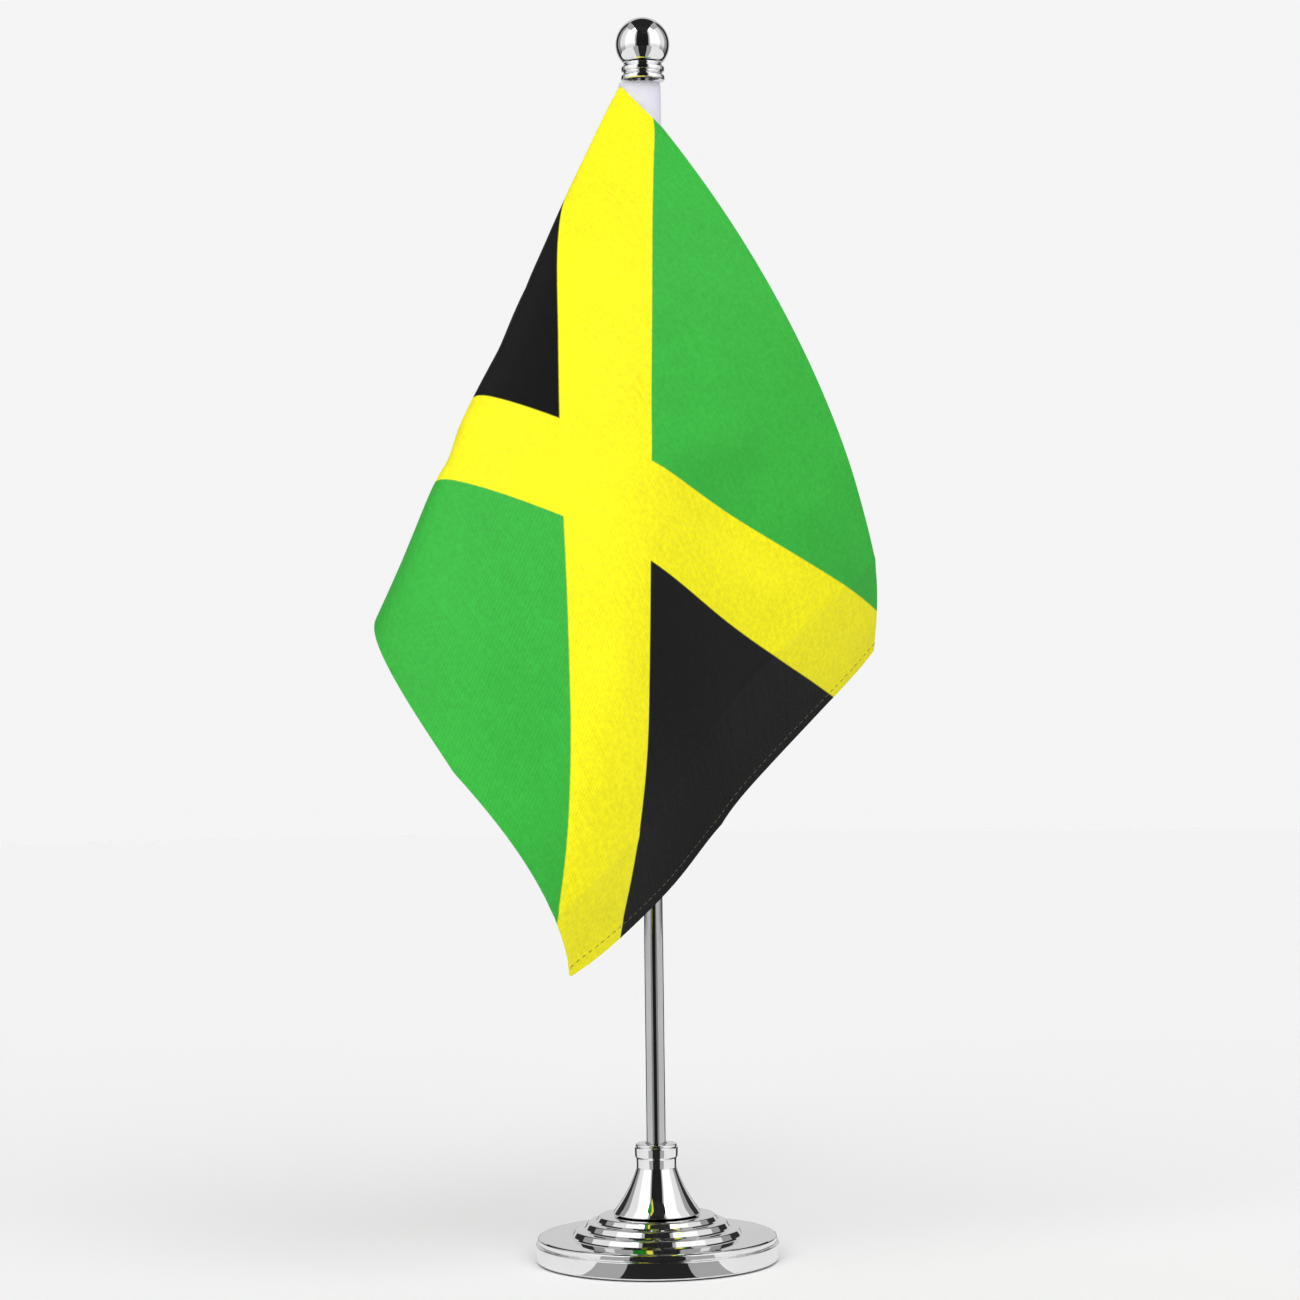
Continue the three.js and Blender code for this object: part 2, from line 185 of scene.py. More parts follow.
# ---- The studio ----
# What the plating mirrors: a tent of cards that nothing else sees. Each strip runs between two angles
# from the front, on both sides, and glows from a low level at its foot to a high one above the fade.
TENT_RADIUS = 1.3
TENT_FADE = (0.08, 0.42)
TENT_HEIGHT = 1.9
TENT_ROOF_HALF_WIDTH = 0.7
TENT_ROOF_GLOW = 0.02
TENT_WALL = (
    (0, 26, 0.012, 0.012),
    (26, 32, 0.25, 0.45),
    (32, 80, 0.82, 1.15),
    (80, 108, 0.42, 0.85),
    (108, 126, 0.2, 0.35),
    (126, 150, 0.03, 0.03),
    (150, 180, 0.66, 0.62),
)
TENT_FLOOR = (
    (-20, 20, 0.02),
    (20, 42, 0.4),
    (-42, -20, 0.4),
    (130, 230, 0.05),
)
WORLD_GLOW = 0.42
BACKDROP_GLOW = 0.91
# Two soft lights: angle from the front towards the right, angle above the floor, strength.
SUNS = (
    (-28, 42, 1.36),
    (28, 42, 1.2),
)
# How many degrees wide each light is.
SUN_SPREAD = 50
CAMERA_PLACE = (0, -0.9, 0.160)
CAMERA_AIM = (0, 0, 0.1757)
CAMERA_LENS = 86.3
CAMERA_ROLL = -0.72


# ---- User sizes and colours ----
class DeskFlagSizes(bpy.types.PropertyGroup):
    """Sizes a user would change."""

    cloth_thickness: bpy.props.FloatProperty(
        name="Cloth thickness", description="Thickness of the flag's sheet",
        default=0.35 * MM, min=0.1 * MM, max=1.0 * MM, unit="LENGTH", precision=5)
    band_width: bpy.props.FloatProperty(
        name="Band width", description="Width of the printed diagonal bands",
        default=26.0 * MM, min=5.0 * MM, max=60.0 * MM, unit="LENGTH", precision=5)
    hem_width: bpy.props.FloatProperty(
        name="Hem width", description="Width of the folded hem along the fly edge",
        default=4.0 * MM, min=1.0 * MM, max=10.0 * MM, unit="LENGTH", precision=5)
    stitch_length: bpy.props.FloatProperty(
        name="Stitch length", description="Length of one sewing stitch",
        default=1.7 * MM, min=0.5 * MM, max=5.0 * MM, unit="LENGTH", precision=5)
    stitch_pitch: bpy.props.FloatProperty(
        name="Stitch pitch", description="Distance from one stitch to the next",
        default=2.5 * MM, min=0.6 * MM, max=6.0 * MM, unit="LENGTH", precision=5)
    thread_radius: bpy.props.FloatProperty(
        name="Thread radius", description="Radius of the sewing thread",
        default=0.12 * MM, min=0.05 * MM, max=0.5 * MM, unit="LENGTH", precision=5)
    floor_size: bpy.props.FloatProperty(
        name="Floor size", description="Width of the round studio floor",
        default=6.0, min=1.0, max=20.0, unit="LENGTH")


class DeskFlagColours(bpy.types.PropertyGroup):
    """Colours a user would change."""

    gold: bpy.props.FloatVectorProperty(
        name="Band colour", description="Printed diagonal bands", subtype="COLOR",
        size=4, min=0, max=1, default=(0.93, 0.86, 0.006, 1))
    green: bpy.props.FloatVectorProperty(
        name="Top and bottom colour", description="Printed top and bottom fields", subtype="COLOR",
        size=4, min=0, max=1, default=(0.038, 0.43, 0.047, 1))
    black: bpy.props.FloatVectorProperty(
        name="Side colour", description="Printed hoist and fly fields", subtype="COLOR",
        size=4, min=0, max=1, default=(0.005, 0.005, 0.006, 1))
    sleeve: bpy.props.FloatVectorProperty(
        name="Sleeve colour", description="White cloth of the sleeve", subtype="COLOR",
        size=4, min=0, max=1, default=(0.78, 0.77, 0.88, 1))
    chrome: bpy.props.FloatVectorProperty(
        name="Chrome colour", description="Polished plating", subtype="COLOR",
        size=4, min=0, max=1, default=(0.88, 0.88, 0.89, 1))
    floor: bpy.props.FloatVectorProperty(
        name="Floor colour", description="Studio floor", subtype="COLOR",
        size=4, min=0, max=1, default=(0.93, 0.93, 0.935, 1))


# ---- Mesh helpers ----
def rounded(corners, steps=6):
    """Profile points from (radius, level, rounding) corners, each corner turned into an arc.

    A support point stands just off each arc, so that shading stays flat on the flat faces.
    """
    points = []
    count = len(corners)
    for index, (r, z, rounding) in enumerate(corners):
        here = Vector((r, z))
        if rounding <= 0 or index in (0, count - 1):
            points.append((r, z))
            continue
        back = Vector(corners[index - 1][:2]) - here
        ahead = Vector(corners[index + 1][:2]) - here
        room = ARC_SHARE * min(back.length, ahead.length)
        back.normalize()
        ahead.normalize()
        half = back.angle(ahead) / 2
        tangent = min(rounding / math.tan(half), room)
        radius = tangent * math.tan(half)
        centre = here + (back + ahead).normalized() * (radius / math.sin(half))
        first = here + back * tangent - centre
        last = here + ahead * tangent - centre
        sweep = first.angle(last)
        points.append(tuple(here + back * tangent * ARC_SUPPORT))
        for step in range(steps + 1):
            share = step / steps
            a = math.sin((1 - share) * sweep) / math.sin(sweep)
            b = math.sin(share * sweep) / math.sin(sweep)
            points.append(tuple(centre + first * a + last * b))
        points.append(tuple(here + ahead * tangent * ARC_SUPPORT))
    return points


def lathe(name, profile, segments=192, loop=False):
    """A turned piece about the pole's axis from (radius, level) points in millimetres."""
    mesh = bmesh.new()
    rings = []
    for r, z in profile:
        if r < 1e-6:
            rings.append([mesh.verts.new((0, 0, z * MM))])
            continue
        ring = []
        for k in range(segments):
            angle = 2 * math.pi * k / segments
            ring.append(mesh.verts.new((r * math.cos(angle) * MM, r * math.sin(angle) * MM, z * MM)))
        rings.append(ring)
    pairs = list(zip(rings, rings[1:]))
    if loop:
        pairs.append((rings[-1], rings[0]))
    for first, second in pairs:
        for k in range(segments):
            n = (k + 1) % segments
            if len(first) == 1:
                mesh.faces.new((first[0], second[k], second[n]))
            elif len(second) == 1:
                mesh.faces.new((first[k], second[0], first[n]))
            else:
                mesh.faces.new((first[k], first[n], second[n], second[k]))
    return finish_mesh(name, mesh)


def finish_mesh(name, mesh):
    """Merges, points the faces outwards, shades smooth and links an object at the origin."""
    bmesh.ops.remove_doubles(mesh, verts=mesh.verts, dist=MERGE_DISTANCE)
    bmesh.ops.recalc_face_normals(mesh, faces=mesh.faces)
    for face in mesh.faces:
        face.smooth = True
    data = bpy.data.meshes.new(name)
    mesh.to_mesh(data)
    mesh.free()
    piece = bpy.data.objects.new(name, data)
    bpy.context.scene.collection.objects.link(piece)
    return piece


def finish(piece, maker, sharp=50):
    """Gives a piece one finish, and stops its smooth shading at edges sharper than the angle."""
    piece.data.set_sharp_from_angle(angle=math.radians(sharp))
    piece.data.materials.append(material(maker))


def evaluated_mesh(piece, name):
    """Turns a piece with live modifiers into a plain mesh object with the same name."""
    depsgraph = bpy.context.evaluated_depsgraph_get()
    data = bpy.data.meshes.new_from_object(piece.evaluated_get(depsgraph), depsgraph=depsgraph)
    plain = bpy.data.objects.new(name, data)
    bpy.context.scene.collection.objects.link(plain)
    old = piece.data
    bpy.data.objects.remove(piece)
    if old.users == 0 and isinstance(old, bpy.types.Mesh):
        bpy.data.meshes.remove(old)
    plain.name = name
    return plain


# ---- Material helpers ----
class Nodes:
    """A material under construction: add nodes and link sockets by name."""

    def __init__(self, name):
        self.material = bpy.data.materials.new(name)
        self.material.use_nodes = True
        self.tree = self.material.node_tree
        self.shader = next(n for n in self.tree.nodes if n.type == "BSDF_PRINCIPLED")

    def add(self, kind, **settings):
        node = self.tree.nodes.new(kind)
        for key, value in settings.items():
            setattr(node, key, value)
        return node

    def link(self, source, target):
        self.tree.links.new(source, target)

    def set(self, **values):
        for key, value in values.items():
            self.shader.inputs[key.replace("_", " ")].default_value = value

    def place(self, scale=(1, 1, 1)):
        """Object coordinates, stretched."""
        coordinates = self.add("ShaderNodeTexCoord")
        mapping = self.add("ShaderNodeMapping")
        mapping.inputs["Scale"].default_value = scale
        self.link(coordinates.outputs["Object"], mapping.inputs["Vector"])
        return mapping.outputs["Vector"]

    def noise(self, vector, scale, detail=3.0, roughness=0.5):
        node = self.add("ShaderNodeTexNoise")
        node.inputs["Scale"].default_value = scale
        node.inputs["Detail"].default_value = detail
        node.inputs["Roughness"].default_value = roughness
        self.link(vector, node.inputs["Vector"])
        return node.outputs["Fac"]

    def math(self, operation, a, b=None):
        node = self.add("ShaderNodeMath", operation=operation)
        for socket, value in zip(node.inputs, (a, b)):
            if value is None:
                continue
            if isinstance(value, (int, float)):
                socket.default_value = value
            else:
                self.link(value, socket)
        return node.outputs[0]

    def spread(self, value, low_in, high_in, low_out, high_out, kind="LINEAR"):
        node = self.add("ShaderNodeMapRange", interpolation_type=kind)
        for key, number in zip(("From Min", "From Max", "To Min", "To Max"),
                               (low_in, high_in, low_out, high_out)):
            node.inputs[key].default_value = number
        self.link(value, node.inputs["Value"])
        return node.outputs["Result"]

    def mix(self, share, first, second, blend="MIX"):
        node = self.add("ShaderNodeMix", data_type="RGBA", blend_type=blend)
        # The node has sockets of the same names for numbers and vectors: its colours come seventh,
        # eighth and, among the outputs, third.
        sockets = (node.inputs["Factor"], node.inputs[6], node.inputs[7])
        for socket, value in zip(sockets, (share, first, second)):
            if isinstance(value, bpy.types.NodeSocket):
                self.link(value, socket)
            else:
                socket.default_value = value
        return node.outputs[2]

    def bump(self, height, strength, distance):
        node = self.add("ShaderNodeBump")
        node.inputs["Strength"].default_value = strength
        node.inputs["Distance"].default_value = distance
        self.link(height, node.inputs["Height"])
        return node.outputs["Normal"]

    def done(self, color=None, roughness=None, normal=None):
        for key, value in (("Base Color", color), ("Roughness", roughness), ("Normal", normal)):
            if value is not None:
                self.link(value, self.shader.inputs[key])
        return self.material


def shade(color, amount):
    """A colour made lighter or darker."""
    return tuple(min(1.0, channel * amount) for channel in color[:3]) + (1.0,)


def polished_chrome():
    """Bright plating with faint polishing lines round the axis and a few hazy patches."""
    nodes = Nodes("polished_chrome")
    tint = tuple(bpy.context.scene.desk_flag_colours.chrome)
    nodes.set(Metallic=1.0, Roughness=0.03)
    place = nodes.place()
    haze = nodes.noise(place, 55, detail=4)
    grain = nodes.noise(nodes.place((1, 1, 18)), 420, detail=2)
    color = nodes.mix(nodes.spread(haze, 0.35, 0.75, 0, 1), tint, shade(tint, 0.94))
    roughness = nodes.math("ADD", nodes.spread(haze, 0.4, 0.8, 0.018, 0.06),
                           nodes.spread(grain, 0.35, 0.7, 0, 0.02))
    return nodes.done(color, roughness, nodes.bump(grain, 0.02, 0.00003))


def drawn_chrome():
    """The pole's duller plating, with fine lines drawn along it."""
    nodes = Nodes("drawn_chrome")
    tint = shade(tuple(bpy.context.scene.desk_flag_colours.chrome), 0.62)
    nodes.set(Metallic=1.0)
    lines = nodes.noise(nodes.place((1, 1, 0.01)), 3500, detail=2)
    haze = nodes.noise(nodes.place(), 40, detail=3)
    color = nodes.mix(nodes.spread(haze, 0.35, 0.7, 0, 1), tint, shade(tint, 0.9))
    roughness = nodes.math("ADD", nodes.spread(haze, 0.4, 0.8, 0.05, 0.09),
                           nodes.spread(lines, 0.35, 0.7, 0, 0.03))
    return nodes.done(color, roughness, nodes.bump(lines, 0.03, 0.00003))


def cast_iron():
    """Rough grey casting with a sandy skin."""
    nodes = Nodes("cast_iron")
    nodes.set(Metallic=0.7, Roughness=0.7)
    place = nodes.place()
    sand = nodes.noise(place, 900, detail=5, roughness=0.65)
    patch = nodes.noise(place, 60, detail=3)
    color = nodes.mix(patch, (0.09, 0.09, 0.095, 1), (0.16, 0.15, 0.145, 1))
    return nodes.done(color, nodes.spread(sand, 0.3, 0.7, 0.55, 0.85), nodes.bump(sand, 0.5, 0.0002))


def zinc_steel():
    """Zinc plated steel with crystal patches and turning marks."""
    nodes = Nodes("zinc_steel")
    nodes.set(Metallic=1.0, Roughness=0.32)
    place = nodes.place()
    patch = nodes.noise(place, 350, detail=3)
    lines = nodes.noise(nodes.place((1, 1, 30)), 500, detail=2)
    color = nodes.mix(patch, (0.5, 0.51, 0.53, 1), (0.64, 0.65, 0.66, 1))
    return nodes.done(color, nodes.spread(lines, 0.3, 0.7, 0.22, 0.42), nodes.bump(lines, 0.15, 0.00004))


def turned_brass():
    """Brass with fine turning marks."""
    nodes = Nodes("turned_brass")
    nodes.set(Metallic=1.0, Roughness=0.3)
    lines = nodes.noise(nodes.place((1, 1, 30)), 600, detail=2)
    color = nodes.mix(lines, (0.6, 0.42, 0.16, 1), (0.75, 0.56, 0.25, 1))
    return nodes.done(color, nodes.spread(lines, 0.3, 0.7, 0.22, 0.4), nodes.bump(lines, 0.15, 0.00004))


def pad_felt():
    """Dark pressed felt."""
    nodes = Nodes("pad_felt")
    nodes.set(Roughness=0.95, Sheen_Weight=0.4, Sheen_Roughness=0.6)
    place = nodes.place()
    fibre = nodes.noise(place, 1600, detail=6, roughness=0.75)
    tuft = nodes.noise(place, 260, detail=3)
    color = nodes.mix(nodes.math("MULTIPLY", fibre, tuft), (0.012, 0.012, 0.014, 1), (0.05, 0.05, 0.055, 1))
    return nodes.done(color, None, nodes.bump(fibre, 0.7, 0.0003))


def weave(nodes, coordinates, across, down):
    """Height of a plain weave with so many threads across and down the UV square."""
    split = nodes.add("ShaderNodeSeparateXYZ")
    nodes.link(coordinates, split.inputs[0])
    warp = nodes.math("SINE", nodes.math("MULTIPLY", split.outputs[0], across * math.pi))
    weft = nodes.math("SINE", nodes.math("MULTIPLY", split.outputs[1], down * math.pi))
    return nodes.math("MULTIPLY", warp, weft)


def printed_satin():
    """Woven satin printed with two diagonal bands over four fields, on the sheet's own UV map."""
    colours = bpy.context.scene.desk_flag_colours
    sizes = bpy.context.scene.desk_flag_sizes
    nodes = Nodes("printed_satin")
    nodes.set(Specular_IOR_Level=0.12)
    uv = nodes.add("ShaderNodeUVMap", uv_map="cloth")
    split = nodes.add("ShaderNodeSeparateXYZ")
    nodes.link(uv.outputs[0], split.inputs[0])
    u, v = split.outputs[0], split.outputs[1]
    width = FLAG_FLY + 2 * PRINT_MARGIN
    scale = width * FLAG_DROP / math.hypot(width, FLAG_DROP) * MM
    half = sizes.band_width / 2 / scale
    soft = 0.25 * MM / scale
    margin = PRINT_MARGIN / FLAG_FLY
    printed = nodes.spread(u, -margin, 1 + margin, 0, 1)
    falling = nodes.math("SUBTRACT", nodes.math("ADD", printed, v), 1.0 - PRINT_DROP / FLAG_DROP)
    rising = nodes.math("SUBTRACT", nodes.math("ADD", v, PRINT_DROP / FLAG_DROP), printed)
    nearest = nodes.math("MINIMUM", nodes.math("ABSOLUTE", falling), nodes.math("ABSOLUTE", rising))
    band = nodes.spread(nearest, half - soft, half + soft, 1, 0, "SMOOTHSTEP")
    field = nodes.spread(nodes.math("MULTIPLY", falling, rising), -1e-5, 1e-5, 0, 1)
    threads = weave(nodes, uv.outputs[0], 620, 410)
    cloud = nodes.noise(nodes.place(), 28, detail=3)
    slub_place = nodes.add("ShaderNodeMapping")
    slub_place.inputs["Scale"].default_value = (14, 420, 1)
    nodes.link(uv.outputs[0], slub_place.inputs["Vector"])
    slub = nodes.noise(slub_place.outputs[0], 1.0, detail=2)
    ink = nodes.mix(field, tuple(colours.black), tuple(colours.green))
    ink = nodes.mix(band, ink, tuple(colours.gold))
    grain = nodes.noise(nodes.place(), 760, detail=2)
    diagonal = nodes.math("ADD", nodes.math("MULTIPLY", u, 1300), nodes.math("MULTIPLY", v, 620))
    twill = nodes.math("SINE", diagonal)
    # The print's brightness: a random tone from the cloud and the grain, plus painted highlight and painted
    # shade of the weave. It is lighter on the raised threads, twill ridges and slubs and darker between
    # them, as the bump below rises and falls.
    fade = nodes.spread(cloud, 0.3, 0.7, 0.93, 1.03)
    for mark, lowest, highest, depth in (
            (slub, 0.3, 0.7, 0.05), (threads, -1, 1, 0.09), (grain, 0.3, 0.7, 0.07), (twill, -1, 1, 0.05)):
        fade = nodes.math("ADD", fade, nodes.spread(mark, lowest, highest, -depth, depth))
    grey = nodes.add("ShaderNodeCombineColor")
    for socket in grey.inputs:
        nodes.link(fade, socket)
    color = nodes.mix(1.0, ink, grey.outputs[0], "MULTIPLY")
    roughness = nodes.spread(slub, 0.3, 0.7, 0.42, 0.56)
    height = nodes.math("ADD", nodes.math("MULTIPLY", threads, 0.5), slub)
    height = nodes.math("ADD", height, nodes.math("MULTIPLY", twill, 0.5))
    return nodes.done(color, roughness, nodes.bump(height, 0.22, 0.00008))


def sleeve_cloth():
    """White plain-weave cloth with a fine fuzz."""
    nodes = Nodes("sleeve_cloth")
    tint = tuple(bpy.context.scene.desk_flag_colours.sleeve)
    nodes.set(Roughness=0.82, Sheen_Weight=0.3, Sheen_Roughness=0.5)
    uv = nodes.add("ShaderNodeUVMap", uv_map="cloth")
    threads = weave(nodes, uv.outputs[0], 110, 500)
    cloud = nodes.noise(nodes.place(), 90, detail=3)
    fuzz = nodes.noise(nodes.place(), 900, detail=4)
    color = nodes.mix(nodes.spread(cloud, 0.3, 0.7, 0, 1), shade(tint, 0.9), tint)
    color = nodes.mix(nodes.spread(threads, -1, 1, 0, 0.12), color, shade(tint, 0.7))
    height = nodes.math("ADD", threads, nodes.math("MULTIPLY", fuzz, 0.6))
    return nodes.done(color, nodes.spread(fuzz, 0.3, 0.7, 0.75, 0.92), nodes.bump(height, 0.3, 0.00012))


def thread_finish(name, dark, light):
    """Twisted polyester thread between two shades."""
    nodes = Nodes(name)
    nodes.set(Roughness=0.45, Sheen_Weight=0.3, Sheen_Roughness=0.4)
    twist = nodes.noise(nodes.place(), 5200, detail=2)
    return nodes.done(nodes.mix(twist, dark, light), None, nodes.bump(twist, 0.4, 0.00006))


def white_thread():
    """Thread of the sleeve's seam."""
    return thread_finish("white_thread", (0.55, 0.55, 0.6, 1), (0.86, 0.86, 0.92, 1))


def hem_thread():
    """Dark thread of the fly hem."""
    return thread_finish("hem_thread", (0.05, 0.05, 0.01, 1), (0.13, 0.12, 0.02, 1))


MATERIALS = {}


def material(maker):
    """Each finish is made once and shared."""
    if maker.__name__ not in MATERIALS:
        MATERIALS[maker.__name__] = maker()
    return MATERIALS[maker.__name__]


# ---- The flag's shape ----
# Soft folds: where each starts and ends on the flat sheet, how wide it is and how high it stands.
FLAG_CREASES = (
    ((196, 2), (150, 20), 7.0, 1.3),
    ((95, 128), (40, 60), 9.0, 1.7),
    ((128, 22), (110, 60), 9.0, 1.2),
    ((60, 118), (84, 96), 6.0, -1.0),
    ((175, 30), (140, 48), 5.0, -0.9),
    ((150, 95), (168, 120), 8.0, 1.0),
)

# The pressed fold across the sheet near its fly edge: where it meets the top and bottom edges, how
# steeply the cloth turns back beyond it, and the width of the bend.
FLY_FOLD = {"top": 189.0, "bottom": 204.0, "slope": 0.3, "bend": 0.9, "ridge": 0.2, "width": 1.3}

# A softer fold beside it, which fades down the sheet within its reach.
SOFT_FOLD = {"across": 157.0, "slope": 0.13, "bend": 2.0, "width": 32.0, "reach": 48.0}

# Puckers that fan out from the top hoist corner, and the ripple of the free edges.
PUCKERS = {"height": 0.35, "start": 12.0, "reach": 55.0, "turns": 15}
EDGE_RIPPLE = {"height": 0.28, "reach": 9.0, "across": 11.0, "down": 8.0}


def guide(index):
    """A guide's five values. One step past either end, the run of guides is carried on straight."""
    last = len(FLAG_GUIDES) - 1
    if index < 0 or index > last:
        end = guide(0 if index < 0 else last)
        inner = guide(1 if index < 0 else last - 1)
        return tuple(2 * a - b for a, b in zip(end, inner))
    return FLAG_GUIDES[index]


def blend_guides(angle):
    """A smooth curve through the guides, at an angle on the flat sheet."""
    last = len(FLAG_GUIDES) - 1
    place = min(max(angle, 0) / (math.pi / 2) * last, last - 1e-7)
    span = int(place)
    t = place - span
    weights = ((1 - t) ** 3, 3 * t ** 3 - 6 * t ** 2 + 4, 1 + 3 * t + 3 * t ** 2 - 3 * t ** 3, t ** 3)
    total = [0.0] * 5
    for k, weight in enumerate(weights):
        for i, value in enumerate(guide(span + k - 1)):
            total[i] += weight * value / 6
    return total


def flag_point(across, down):
    """Where a point of the flat sheet hangs, in millimetres."""
    along = math.hypot(across, down)
    side, fore, bend_x, bend_y, bend_z = blend_guides(math.atan2(across, down))
    stretch = along / math.sqrt(side ** 2 + fore ** 2 + 1)
    sag = (along / FLAG_FLY) ** 2
    point = Vector((
        -HOIST_LEFT + stretch * side + sag * bend_x,
        -HOIST_FRONT - stretch * fore + sag * bend_y,
        FLAG_TOP - stretch + sag * bend_z,
    ))
    for corner_across, corner_down, size, move in FLAG_CURLS:
        distance = math.hypot(across - corner_across, down - corner_down)
        point += Vector(move) * max(0.0, 1 - distance / size) ** 2
    point.y += FLY_FOLD["slope"] * bent(past_fold(across, down), FLY_FOLD["bend"])
    past = across - SOFT_FOLD["across"]
    turned = bent(past, SOFT_FOLD["bend"]) - bent(past - SOFT_FOLD["width"], SOFT_FOLD["bend"])
    point.y += SOFT_FOLD["slope"] * turned * math.exp(-((down / SOFT_FOLD["reach"]) ** 2))
    return point


def flag_normal(across, down):
    """Unit normal of the sheet, on its printed front."""
    step = 0.4
    sideways = flag_point(across + step, down) - flag_point(max(across - step, 0), down)
    downward = flag_point(across, down + step) - flag_point(across, max(down - step, 0))
    return downward.cross(sideways).normalized()


def crease(across, down, start, end, width, depth):
    """Height of one soft crease that runs from start to end on the flat sheet."""
    start, end, here = Vector(start), Vector(end), Vector((across, down))
    line = end - start
    share = (here - start).dot(line) / line.length_squared
    nearest = start + line * min(max(share, 0), 1)
    distance = (here - nearest).length
    fade = math.sin(math.pi * min(max(share, 0.02), 0.98)) ** 0.6
    return depth * fade * math.exp(-((distance / width) ** 2))


def bent(past, bend):
    """Nothing before a fold, the distance past it beyond, with a rounded bend between."""
    return bend * math.log1p(math.exp(min(past / bend, LARGEST_EXPONENT)))


def past_fold(across, down):
    """How far a point of the flat sheet lies beyond the pressed fold, towards the fly edge."""
    return across - FLY_FOLD["top"] - (FLY_FOLD["bottom"] - FLY_FOLD["top"]) * down / FLAG_DROP


def flag_relief(across, down):
    """Small folds of the hanging cloth, as a height over the smooth drape."""
    height = 0.0
    for start, end, width, depth in FLAG_CREASES:
        height += crease(across, down, start, end, width, depth)
    height += FLY_FOLD["ridge"] * math.exp(-((past_fold(across, down) / FLY_FOLD["width"]) ** 2))
    angle = math.atan2(across, down)
    along = math.hypot(across, down)
    pull = math.exp(-((along / PUCKERS["reach"]) ** 2)) * min(along / PUCKERS["start"], 1)
    height += PUCKERS["height"] * pull * math.sin(angle * PUCKERS["turns"])
    edge = min(FLAG_FLY - across, FLAG_DROP - down)
    wave = math.sin(across / EDGE_RIPPLE["across"] + down / EDGE_RIPPLE["down"])
    height += EDGE_RIPPLE["height"] * math.exp(-edge / EDGE_RIPPLE["reach"]) * wave
    return height


# ---- Geometry Nodes: stitches along a seam ----
def stitch_tree():
    """One stitch for each point of a resampled seam line, laid along the line, a little varied in size."""
    tree = bpy.data.node_groups.new("seam_stitches", "GeometryNodeTree")

    def socket(name, kind, way="INPUT"):
        tree.interface.new_socket(name, in_out=way, socket_type="NodeSocket" + kind)

    def node(kind, **settings):
        made = tree.nodes.new(kind)
        for key, value in settings.items():
            setattr(made, key, value)
        return made

    socket("Geometry", "Geometry")
    for name in ("Pitch", "Length", "Thread radius"):
        socket(name, "Float")
    socket("Thread", "Material")
    socket("Geometry", "Geometry", "OUTPUT")
    given = node("NodeGroupInput")
    result = node("NodeGroupOutput")
    curve = node("GeometryNodeMeshToCurve")
    resample = node("GeometryNodeResampleCurve", mode="LENGTH")
    to_points = node("GeometryNodeCurveToPoints", mode="EVALUATED")
    stitch = node("GeometryNodeMeshUVSphere")
    for key, value in (("Segments", 8), ("Rings", 6), ("Radius", 1.0)):
        stitch.inputs[key].default_value = value
    half_length = node("ShaderNodeMath", operation="MULTIPLY")
    half_length.inputs[1].default_value = 0.5
    size = node("ShaderNodeCombineXYZ")
    # Among the random node's sockets, the third and fourth hold a number's least and greatest value.
    jitter = node("FunctionNodeRandomValue", data_type="FLOAT")
    for key, value in ((2, 0.9), (3, 1.08), ("Seed", 7)):
        jitter.inputs[key].default_value = value
    scaled = node("ShaderNodeVectorMath", operation="SCALE")
    place = node("GeometryNodeInstanceOnPoints")
    real = node("GeometryNodeRealizeInstances")
    smooth = node("GeometryNodeSetShadeSmooth")
    paint = node("GeometryNodeSetMaterial")
    for source, output, target, entry in (
            (given, "Geometry", curve, "Mesh"),
            (curve, "Curve", resample, "Curve"),
            (given, "Pitch", resample, "Length"),
            (resample, "Curve", to_points, "Curve"),
            (to_points, "Points", place, "Points"),
            (to_points, "Rotation", place, "Rotation"),
            (stitch, "Mesh", place, "Instance"),
            (given, "Length", half_length, 0),
            (given, "Thread radius", size, "X"),
            (given, "Thread radius", size, "Y"),
            (half_length, 0, size, "Z"),
            (size, 0, scaled, 0),
            (jitter, 1, scaled, "Scale"),
            (scaled, 0, place, "Scale"),
            (place, "Instances", real, "Geometry"),
            (real, "Geometry", smooth, "Geometry"),
            (smooth, "Geometry", paint, "Geometry"),
            (given, "Thread", paint, "Material"),
            (paint, "Geometry", result, "Geometry")):
        tree.links.new(source.outputs[output], target.inputs[entry])
    return tree


def sew(name, lines, thread):
    """Rows of stitches along lines of points, as one plain mesh."""
    sizes = bpy.context.scene.desk_flag_sizes
    data = bpy.data.meshes.new(name)
    verts, edges = [], []
    for line in lines:
        start = len(verts)
        verts.extend(tuple(point * MM) for point in line)
        edges.extend((start + k, start + k + 1) for k in range(len(line) - 1))
    data.from_pydata(verts, edges, [])
    seam = bpy.data.objects.new(name, data)
    bpy.context.scene.collection.objects.link(seam)
    tree = bpy.data.node_groups.get("seam_stitches") or stitch_tree()
    modifier = seam.modifiers.new("stitches", "NODES")
    modifier.node_group = tree
    values = {"Pitch": sizes.stitch_pitch, "Length": sizes.stitch_length,
              "Thread radius": sizes.thread_radius, "Thread": material(thread)}
    for item in tree.interface.items_tree:
        if item.in_out == "INPUT" and item.name in values:
            modifier[item.identifier] = values[item.name]
    return evaluated_mesh(seam, name)


